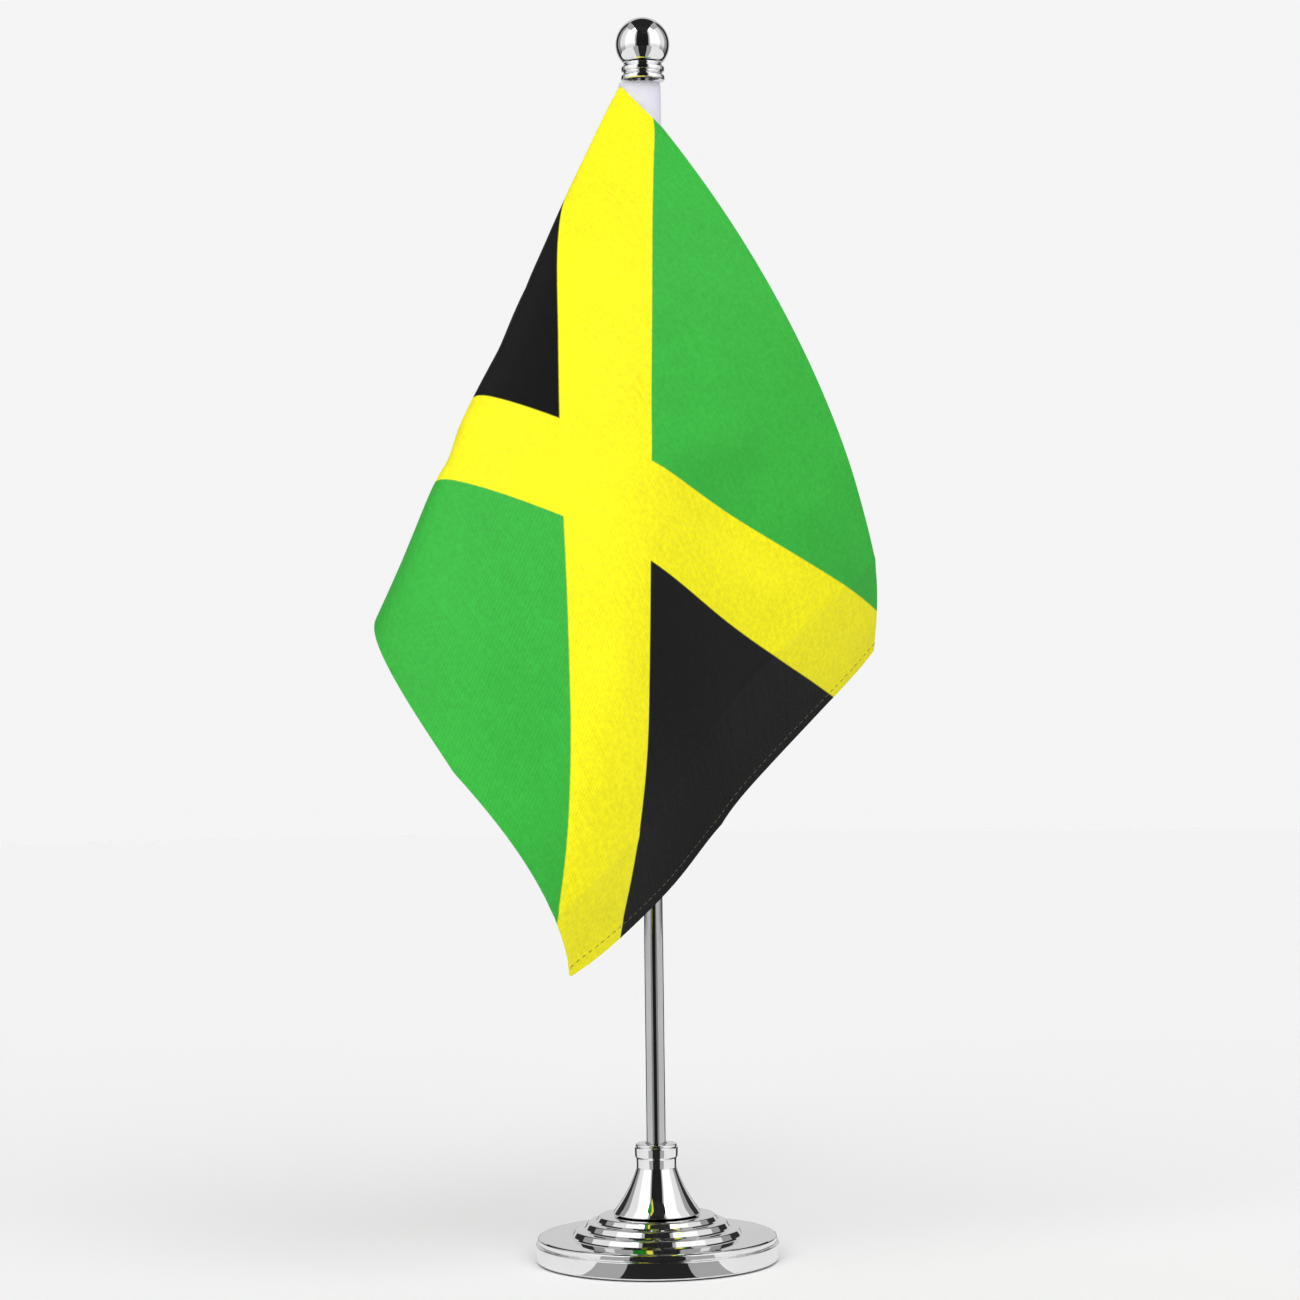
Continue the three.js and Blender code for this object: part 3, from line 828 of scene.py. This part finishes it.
# ---- Operators ----
class DESKFLAG_OT_base(bpy.types.Operator):
    """Builds the pressed cover and the pad under it"""

    bl_idname = "desk_flag.base"
    bl_label = "Base"

    def execute(self, context):
        top, skin = COVER_TOP, COVER_SKIN
        band, lip = BASE_RADIUS, BASE_RADIUS - LIP_INSET
        corners = [
            (band - skin, 0.6, 0), (band - skin / 2, 0.45, 0.2), (band, 0.9, 0.35),
            (band, 5.3, 0.35), (band - 0.42, 5.42, 0.15), (lip - 0.12, 5.62, 0.12),
            (lip, 5.85, 0.2), (lip, 7.0, 0.45), (lip - 0.5, 7.4, 0.35), (lip - 1.2, 7.36, 0.3),
        ]
        for foot, foot_level, edge_level, edge in COVER_STEPS:
            corners += [(foot, foot_level, 0.12), (foot - 0.45, foot_level + 0.35, 0.25),
                        (foot - 1.4, edge_level, edge)]
        corners += [(13.2, top, 0.2), (COVER_HOLE, top, 0)]
        outer = rounded(corners)
        inner = [(COVER_HOLE, top - skin), (15.9, top - skin), (16.35, 10.7), (19.1, 10.7), (19.65, 8.6),
                 (22.8, 8.6), (23.35, 6.6), (lip - skin, 6.6), (lip - skin, 4.6), (band - skin, 4.5)]
        cover = lathe("base_cover_shell", outer + inner, 256, loop=True)
        finish(cover, polished_chrome)
        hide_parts("base_cover")
        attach(cover, "base")
        pad = lathe("base_pad_disc", rounded([
            (0, 0, 0), (PAD_RADIUS, 0, 0.3), (PAD_RADIUS, PAD_TOP, 0.35), (0, PAD_TOP, 0)]), 128)
        finish(pad, pad_felt, 60)
        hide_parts("base_pad")
        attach(pad, "base")
        return {"FINISHED"}


class DESKFLAG_OT_hardware(bpy.types.Operator):
    """Gives the ballast, bolt, washers, studs and insert their finishes"""

    bl_idname = "desk_flag.hardware"
    bl_label = "Inner hardware"

    def execute(self, context):
        finishes = {
            cast_iron: ("base_ballast",),
            zinc_steel: ("clamp_bolt", "lock_washer", "flat_washer", "pole_stud", "finial_stud"),
            turned_brass: ("pole_insert",),
        }
        for maker, names in finishes.items():
            for name in names:
                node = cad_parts[name]
                for slot in node.material_slots:
                    slot.material = material(maker)
        return {"FINISHED"}


class DESKFLAG_OT_cone(bpy.types.Operator):
    """Builds the turned cone socket with its collar"""

    bl_idname = "desk_flag.cone"
    bl_label = "Cone socket"

    def execute(self, context):
        foot, top = CONE_FOOT, COLLAR_TOP
        neck = foot + CONE_RISE
        bore = POLE_RADIUS + POLE_CLEARANCE
        bolt_top, stud_foot = top - BOLT_TOP_DEPTH, top - STUD_FOOT_DEPTH
        corners = [(0, bolt_top, 0), (BOLT_HOLE, bolt_top, 0), (BOLT_HOLE, foot, 0),
                   (CONE_RADIUS - 0.4, foot, 0.1), (CONE_RADIUS, foot + 0.2, 0.3)]
        steps = 14
        for k in range(1, steps):
            share = k / steps
            hollow = CONE_HOLLOW * math.sin(math.pi * share)
            corners.append((CONE_RADIUS - CONE_NARROWING * share - hollow, foot + 0.4 + 12.7 * share, 0))
        corners += [
            (5.68, neck, 0.8), (5.72, neck + 2.6, 0.6), (6.12, neck + 3.2, 0.5),
            (6.2, neck + 5.75, 0.8), (5.85, neck + 6.1, 0.2), (5.95, top - 0.12, 0.25), (5.3, top, 0.25),
            (bore + 0.35, top, 0.3), (bore, top - 0.4, 0), (bore, POLE_FOOT - POLE_CLEARANCE, 0),
            (BOLT_HOLE, POLE_FOOT - POLE_CLEARANCE, 0), (BOLT_HOLE, stud_foot, 0), (0, stud_foot, 0),
        ]
        cone = lathe("cone_socket_turned", rounded(corners, 8), 192)
        finish(cone, polished_chrome)
        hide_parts("cone_socket")
        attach(cone, "base")
        return {"FINISHED"}


class DESKFLAG_OT_pole(bpy.types.Operator):
    """Builds the drawn pole tube"""

    bl_idname = "desk_flag.pole"
    bl_label = "Pole"

    def execute(self, context):
        bore = POLE_RADIUS - POLE_WALL
        outer = rounded([
            (bore, POLE_FOOT, 0), (POLE_RADIUS, POLE_FOOT, 0.2),
            (POLE_RADIUS, POLE_TOP, 0.2), (bore, POLE_TOP, 0)])
        inner = [(bore, POLE_TOP - BORE_RING_DEPTH), (bore, POLE_FOOT + BORE_RING_DEPTH)]
        tube = lathe("pole_tube_drawn", outer + inner, 96, loop=True)
        finish(tube, drawn_chrome)
        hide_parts("pole_tube")
        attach(tube, "pole")
        return {"FINISHED"}


class DESKFLAG_OT_finial(bpy.types.Operator):
    """Builds the ball and its double-ring skirt"""

    bl_idname = "desk_flag.finial"
    bl_label = "Finial"

    def execute(self, context):
        centre = BALL_TOP - BALL_RADIUS
        bore = FINIAL_BORE
        start = -math.acos(BALL_NECK / BALL_RADIUS)
        profile = [(0, centre + 0.3), (bore, centre + 0.3), (bore, BALL_FOOT)]
        profile += [(BALL_NECK - 0.5, BALL_FOOT), (BALL_NECK - 0.12, BALL_FOOT + 0.03)]
        steps = 64
        for k in range(1, steps):
            angle = start + (math.pi / 2 - start) * k / steps
            profile.append((BALL_RADIUS * math.cos(angle), centre + BALL_RADIUS * math.sin(angle)))
        profile.append((0, BALL_TOP))
        ball = lathe("finial_ball_polished", profile, 128)
        finish(ball, polished_chrome)
        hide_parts("finial_ball")
        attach(ball, "finial")

        low_z, top_z = SKIRT_FOOT, SKIRT_TOP
        groove = (low_z + top_z) / 2
        pole_bore = POLE_RADIUS + POLE_CLEARANCE
        seat = POLE_TOP + POLE_CLEARANCE
        corners = [
            (pole_bore, low_z + 0.2, 0), (pole_bore + 0.2, low_z, 0.15), (6.1, low_z, 0.25),
            (6.4, low_z + 0.25, 0.22), (6.35, low_z + 1.15, 0.3), (5.75, groove - 0.55, 0.5),
            (5.65, groove - 0.1, 0.15), (6.25, groove + 0.18, 0.2), (6.3, groove + 1.1, 0.3),
            (5.7, top_z - 0.5, 0.5), (5.6, top_z - 0.05, 0.15), (5.2, top_z, 0.1), (bore, top_z, 0),
            (bore, seat, 0), (pole_bore, seat, 0),
        ]
        skirt = lathe("finial_skirt_turned", rounded(corners, 8), 128, loop=True)
        finish(skirt, polished_chrome)
        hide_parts("finial_skirt")
        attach(skirt, "finial")
        return {"FINISHED"}


class DESKFLAG_OT_sleeve(bpy.types.Operator):
    """Builds the sewn cloth sleeve round the pole"""

    bl_idname = "desk_flag.sleeve"
    bl_label = "Sleeve"

    def execute(self, context):
        rows, columns = 150, 72
        bore = POLE_RADIUS + SLEEVE_CLEARANCE
        mesh = bmesh.new()
        layer = mesh.loops.layers.uv.new("cloth")
        rings = []
        for row in range(rows + 1):
            share = row / rows
            level = SLEEVE_TOP + (SLEEVE_FOOT - SLEEVE_TOP) * share
            edge = min(share, 1 - share) * (SLEEVE_TOP - SLEEVE_FOOT)
            inset = END_ROUNDING * math.exp(-edge / END_ROUNDING_REACH)
            outer, inner = [], []
            for k in range(columns):
                angle = 2 * math.pi * k / columns
                x, y = self.section(angle, level, inset)
                outer.append(mesh.verts.new((x * MM, y * MM, level * MM)))
                x, y = bore * math.cos(angle), bore * math.sin(angle)
                inner.append(mesh.verts.new((x * MM, y * MM, level * MM)))
            rings.append((outer, inner))
        for row in range(rows):
            for side in (0, 1):
                upper, lower = rings[row][side], rings[row + 1][side]
                for k in range(columns):
                    n = (k + 1) % columns
                    face = mesh.faces.new((upper[k], lower[k], lower[n], upper[n]))
                    shares = ((k, row), (k, row + 1), (k + 1, row + 1), (k + 1, row))
                    for loop, (a, b) in zip(face.loops, shares):
                        loop[layer].uv = (a / columns, 1 - b / rows)
        for row in (0, rows):
            outer, inner = rings[row]
            for k in range(columns):
                n = (k + 1) % columns
                face = mesh.faces.new((outer[k], outer[n], inner[n], inner[k]))
                for loop in face.loops:
                    loop[layer].uv = (k / columns, 1 - row / rows)
        sleeve = finish_mesh("flag_sleeve_cloth", mesh)
        finish(sleeve, sleeve_cloth, 60)
        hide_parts("flag_sleeve")
        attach(sleeve, "flag")
        lines = []
        start = SLEEVE_TOP - SEAM_END_GAP
        run = SLEEVE_FOOT + SEAM_END_GAP - start
        for turn in (SEAM_ANGLE, 2 * math.pi - SEAM_ANGLE):
            line = []
            for step in range(rows + 1):
                level = start + run * step / rows
                line.append(Vector((*self.section(turn, level, 0), level)))
            lines.append(line)
        stitches = sew("sleeve_seam_stitches", lines, white_thread)
        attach(stitches, "flag")
        return {"FINISHED"}

    @staticmethod
    def section(angle, level, inset):
        """One point of the sleeve's outline: an oval drawn out to the sewn edge, lightly creased."""
        wave = sum(height * math.sin(level / spacing + turns * angle)
                   for height, spacing, turns in SLEEVE_CREASES)
        x = (SLEEVE_HALF_WIDTH + wave * 0.5 - inset) * math.cos(angle) - SLEEVE_LEAN
        y = (SLEEVE_HALF_DEPTH + wave * 0.5 - inset) * math.sin(angle)
        left = max(0.0, -math.cos(angle)) ** 6
        return x - left, y * (1 - 0.25 * left)


class DESKFLAG_OT_flag(bpy.types.Operator):
    """Builds the hanging printed sheet with its fly hem and stitches"""

    bl_idname = "desk_flag.flag"
    bl_label = "Flag"

    def execute(self, context):
        sizes = context.scene.desk_flag_sizes
        columns, rows = SHEET_COLUMNS, SHEET_ROWS
        thickness = sizes.cloth_thickness / MM
        hem = sizes.hem_width / MM
        mesh = bmesh.new()
        layer = mesh.loops.layers.uv.new("cloth")
        faces = ([], [])
        for row in range(rows + 1):
            down = FLAG_DROP * row / rows
            for column in range(columns + 1):
                across = FLAG_FLY * column / columns
                point = flag_point(across, down)
                normal = flag_normal(across, down)
                centre = point + normal * flag_relief(across, down)
                for side, sheet in zip((1, -1), faces):
                    half = thickness / 2 + self.hem_height(across, hem) * thickness * 0.5
                    sheet.append(mesh.verts.new((centre + normal * half * side) * MM))

        def skin(sheet, flip):
            for row in range(rows):
                for column in range(columns):
                    corners = [(row, column), (row + 1, column), (row + 1, column + 1), (row, column + 1)]
                    if flip:
                        corners.reverse()
                    self.cell(mesh, layer, [(sheet, r, c) for r, c in corners])

        skin(faces[0], False)
        skin(faces[1], True)
        front, back = faces
        for row in range(rows):
            for column, turn in ((0, False), (columns, True)):
                corners = [(front, row, column), (back, row, column),
                           (back, row + 1, column), (front, row + 1, column)]
                self.cell(mesh, layer, corners[::-1] if turn else corners)
        for column in range(columns):
            for row, turn in ((0, True), (rows, False)):
                corners = [(front, row, column), (back, row, column),
                           (back, row, column + 1), (front, row, column + 1)]
                self.cell(mesh, layer, corners[::-1] if turn else corners)
        sheet = finish_mesh("flag_sheet_cloth", mesh)
        finish(sheet, printed_satin, 60)
        seams = self.seam_lines(hem)
        stitches = sew("flag_hem_stitches", seams, hem_thread)
        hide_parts("flag_sheet")
        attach(sheet, "flag")
        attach(stitches, "flag")
        return {"FINISHED"}

    @staticmethod
    def hem_height(across, hem):
        """1 on the folded hem of the fly edge, 0 on the single cloth, with a soft shoulder between."""
        shoulder = 0.25
        return 1 / (1 + math.exp(min((FLAG_FLY - across - hem) / shoulder, LARGEST_EXPONENT)))

    @staticmethod
    def cell(mesh, layer, corners):
        """One face of the sheet, with its place on the flat cloth."""
        face = mesh.faces.new([sheet[r * (SHEET_COLUMNS + 1) + c] for sheet, r, c in corners])
        for loop, (_, r, c) in zip(face.loops, corners):
            loop[layer].uv = (c / SHEET_COLUMNS, 1 - r / SHEET_ROWS)

    @staticmethod
    def seam_lines(hem):
        """The fly hem's row of stitches, on both faces."""
        thickness = bpy.context.scene.desk_flag_sizes.cloth_thickness / MM
        # The hem's faces stand one thickness from its middle. The thread lies a little sunk in them.
        lift = thickness * 0.98
        from_fold = 0.8
        across = FLAG_FLY - hem + from_fold
        count = 150
        lines = ([], [])
        for step in range(count + 1):
            down = SEAM_END_GAP + (FLAG_DROP - 2 * SEAM_END_GAP) * step / count
            centre = flag_point(across, down)
            normal = flag_normal(across, down)
            for side, line in zip((1, -1), lines):
                line.append(centre + normal * (flag_relief(across, down) + side * lift))
        return lines


class DESKFLAG_OT_stage(bpy.types.Operator):
    """Sets the floor, the backdrop, the soft lights, the tent of cards and the camera"""

    bl_idname = "desk_flag.stage"
    bl_label = "Studio"

    def execute(self, context):
        scene = context.scene
        radius = scene.desk_flag_sizes.floor_size / 2
        self.floor(radius)
        self.backdrop(radius)
        self.world(scene)
        for azimuth, elevation, strength in SUNS:
            self.sun(azimuth, elevation, strength)
        for start, end, low_glow, high_glow in TENT_WALL:
            for side in (-1, 1):
                self.wall(side * start, side * end, (low_glow, high_glow))
        for start, end, level in TENT_FLOOR:
            self.floor_card(start, end, level)
        self.roof()
        self.camera(scene)
        return {"FINISHED"}

    @staticmethod
    def camera(scene):
        camera = bpy.data.objects.new("camera", bpy.data.cameras.new("camera"))
        scene.collection.objects.link(camera)
        camera.data.sensor_width = 36
        camera.data.lens = CAMERA_LENS
        camera.data.clip_start = 0.05
        camera.location = CAMERA_PLACE
        way = Vector(CAMERA_AIM) - camera.location
        camera.rotation_euler = way.to_track_quat("-Z", "Y").to_euler()
        camera.rotation_euler.rotate_axis("Z", math.radians(CAMERA_ROLL))
        scene.camera = camera

    @staticmethod
    def add(name, points, faces, color=None, glow=None, fade=None):
        """One stage mesh: painted, glowing evenly, or glowing from a low level up to a high one."""
        data = bpy.data.meshes.new(name)
        data.from_pydata(points, [], faces)
        thing = bpy.data.objects.new(name, data)
        bpy.context.scene.collection.objects.link(thing)
        nodes = Nodes(name)
        nodes.set(Base_Color=color or (0, 0, 0, 1), Roughness=1.0, Specular_IOR_Level=0.0)
        if glow is not None:
            nodes.set(Emission_Color=(1, 1, 1, 1), Emission_Strength=glow)
        if fade is not None:
            nodes.set(Emission_Color=(1, 1, 1, 1))
            place = nodes.add("ShaderNodeSeparateXYZ")
            nodes.link(nodes.place(), place.inputs[0])
            level = nodes.spread(place.outputs[2], *TENT_FADE, *fade, "SMOOTHSTEP")
            nodes.link(level, nodes.shader.inputs["Emission Strength"])
        data.materials.append(nodes.material)
        return thing

    @staticmethod
    def hide(thing, *rays):
        """Keeps a stage piece from some kinds of rays."""
        for ray in rays:
            setattr(thing, "visible_" + ray, False)

    def reflected_only(self, thing):
        """A card that only shiny surfaces see."""
        self.hide(thing, "camera", "diffuse", "shadow", "transmission")

    def floor(self, radius):
        count = 96
        turn = [2 * math.pi * k / count for k in range(count)]
        points = [(radius * math.cos(a), radius * math.sin(a), 0) for a in turn]
        color = tuple(bpy.context.scene.desk_flag_colours.floor)
        self.add("studio_floor", points, [tuple(range(count))], color=color)

    def backdrop(self, radius):
        """A pale dome that only the camera sees."""
        around, up = 64, 24
        points, faces = [], []
        for j in range(up):
            tilt = math.pi / 2 * j / up
            for k in range(around):
                angle = 2 * math.pi * k / around
                flat = radius * math.cos(tilt)
                points.append((flat * math.cos(angle), flat * math.sin(angle), radius * math.sin(tilt)))
        points.append((0, 0, radius))
        for j in range(up - 1):
            for k in range(around):
                n = (k + 1) % around
                faces.append((j * around + k, j * around + n, (j + 1) * around + n, (j + 1) * around + k))
        crown = (up - 1) * around
        faces += [(crown + k, crown + (k + 1) % around, len(points) - 1) for k in range(around)]
        dome = self.add("studio_backdrop", points, faces, glow=BACKDROP_GLOW)
        self.hide(dome, "diffuse", "glossy", "transmission", "shadow")

    @staticmethod
    def world(scene):
        world = bpy.data.worlds.new("studio")
        scene.world = world
        world.use_nodes = True
        background = next(n for n in world.node_tree.nodes if n.type == "BACKGROUND")
        background.inputs["Color"].default_value = (1, 1, 1, 1)
        background.inputs["Strength"].default_value = WORLD_GLOW

    @staticmethod
    def sun(azimuth, elevation, strength):
        """A wide soft light, turned from the front towards the right."""
        light = bpy.data.lights.new("soft_sun", "SUN")
        light.energy = strength
        light.angle = math.radians(SUN_SPREAD)
        lamp = bpy.data.objects.new("soft_sun", light)
        bpy.context.scene.collection.objects.link(lamp)
        flat, rise = math.radians(azimuth), math.radians(elevation)
        way = Vector((math.sin(flat) * math.cos(rise), -math.cos(flat) * math.cos(rise), math.sin(rise)))
        lamp.location = way * 2
        lamp.rotation_euler = (-way).to_track_quat("-Z", "Y").to_euler()

    def wall(self, start, end, fade):
        """An upright strip of the tent, between two angles from the front."""
        steps = 8
        points, faces = [], []
        for k in range(steps + 1):
            angle = math.radians(start + (end - start) * k / steps)
            x, y = TENT_RADIUS * math.sin(angle), -TENT_RADIUS * math.cos(angle)
            points += [(x, y, 0), (x, y, TENT_HEIGHT)]
        for k in range(steps):
            faces.append((2 * k, 2 * k + 2, 2 * k + 3, 2 * k + 1))
        self.reflected_only(self.add("tent_wall", points, faces, fade=fade))

    def floor_card(self, start, end, level):
        """A wedge of card just over the floor, outside the base."""
        steps = 16
        inner, lift = (BASE_RADIUS + 0.6) * MM, 0.2 * MM
        points, faces = [], []
        for k in range(steps + 1):
            angle = math.radians(start + (end - start) * k / steps)
            for radius in (inner, TENT_RADIUS):
                points.append((radius * math.sin(angle), -radius * math.cos(angle), lift))
        for k in range(steps):
            faces.append((2 * k, 2 * k + 1, 2 * k + 3, 2 * k + 2))
        self.reflected_only(self.add("tent_floor_card", points, faces, glow=level))

    def roof(self):
        """The tent's dark lid."""
        sides = ((-1, -1), (1, -1), (1, 1), (-1, 1))
        corners = [(x * TENT_ROOF_HALF_WIDTH, y * TENT_RADIUS, TENT_HEIGHT) for x, y in sides]
        self.reflected_only(self.add("tent_roof", corners, [(0, 1, 2, 3)], glow=TENT_ROOF_GLOW))


class DESKFLAG_PT_sidebar(bpy.types.Panel):
    """Lists the sizes, the colours and the pieces"""

    bl_label = "Desk flag stand"
    bl_space_type = "VIEW_3D"
    bl_region_type = "UI"
    bl_category = "Desk flag"

    def draw(self, context):
        layout = self.layout
        for group in (context.scene.desk_flag_sizes, context.scene.desk_flag_colours):
            box = layout.box()
            for key in group.__annotations__:
                box.prop(group, key)
        for operator in PIECES:
            layout.operator(operator.bl_idname)


PIECES = (DESKFLAG_OT_base, DESKFLAG_OT_hardware, DESKFLAG_OT_cone, DESKFLAG_OT_pole, DESKFLAG_OT_finial,
          DESKFLAG_OT_sleeve, DESKFLAG_OT_flag, DESKFLAG_OT_stage)
CLASSES = (DeskFlagSizes, DeskFlagColours) + PIECES + (DESKFLAG_PT_sidebar,)


def register():
    for item in CLASSES:
        bpy.utils.register_class(item)
    bpy.types.Scene.desk_flag_sizes = bpy.props.PointerProperty(type=DeskFlagSizes)
    bpy.types.Scene.desk_flag_colours = bpy.props.PointerProperty(type=DeskFlagColours)


def unregister():
    del bpy.types.Scene.desk_flag_colours
    del bpy.types.Scene.desk_flag_sizes
    for item in reversed(CLASSES):
        bpy.utils.unregister_class(item)


def main():
    register()
    bpy.context.scene.view_settings.view_transform = "Standard"
    bpy.ops.desk_flag.base()
    bpy.ops.desk_flag.hardware()
    bpy.ops.desk_flag.cone()
    bpy.ops.desk_flag.pole()
    bpy.ops.desk_flag.finial()
    bpy.ops.desk_flag.sleeve()
    bpy.ops.desk_flag.flag()
    bpy.ops.desk_flag.stage()


if __name__ == "__main__":
    main()
